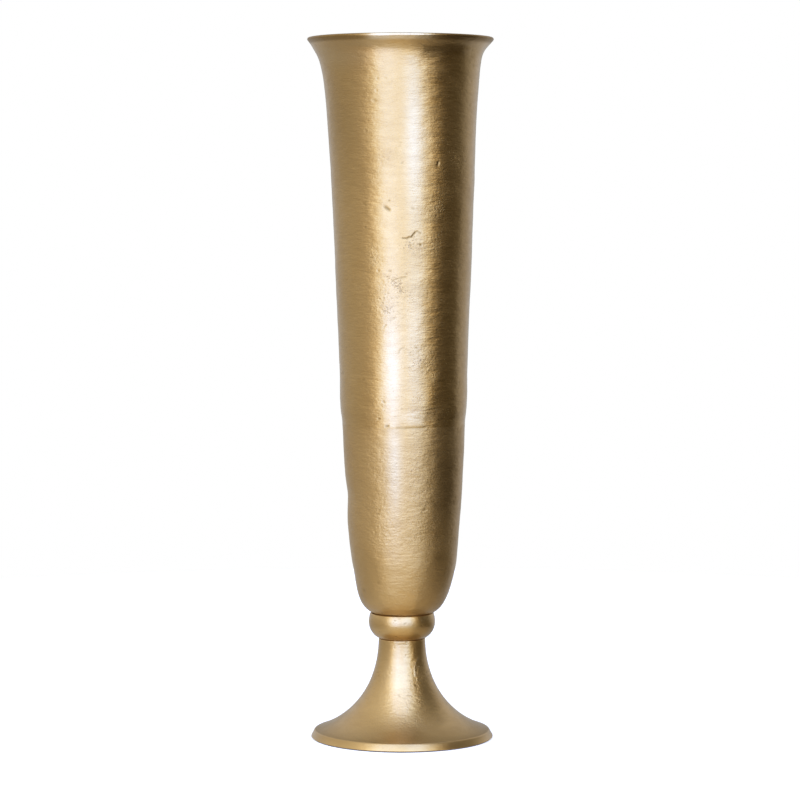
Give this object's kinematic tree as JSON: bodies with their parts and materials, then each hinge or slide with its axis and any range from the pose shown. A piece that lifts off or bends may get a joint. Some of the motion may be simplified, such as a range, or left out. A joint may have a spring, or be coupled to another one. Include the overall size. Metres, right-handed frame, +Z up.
{
  "type": "trumpet vase",
  "caption": "Tall trumpet vase with a flared lip, rounded bowl, bead knop and hollow flared foot, in satin gold cast metal.",
  "frame": {"origin": "centre of the face the vase stands on, the underside of its felt ring", "axes": "+Z up along the vase's axis, from foot to mouth; X and Y are any two directions across it, because the vase is round"},
  "size_m": [0.164, 0.164, 0.61],
  "materials": {
    "gold_casting": "sand-cast, turned in the lathe, satin gold lacquer",
    "steel": "bright zinc plated",
    "rubber": "matt moulded",
    "felt": "pressed wool felt, self-adhesive"
  },
  "bodies": {
    "root": {"mouth_section": "gold_casting", "middle_section": "gold_casting", "bowl_section": "gold_casting", "knop": "gold_casting", "foot": "gold_casting", "felt_ring": "felt", "bowl_gasket": "rubber", "head_washer": "steel", "tie_bolt": "steel", "nut_washer": "steel", "spring_washer": "steel", "hex_nut": "steel"}
  },
  "joints": []
}
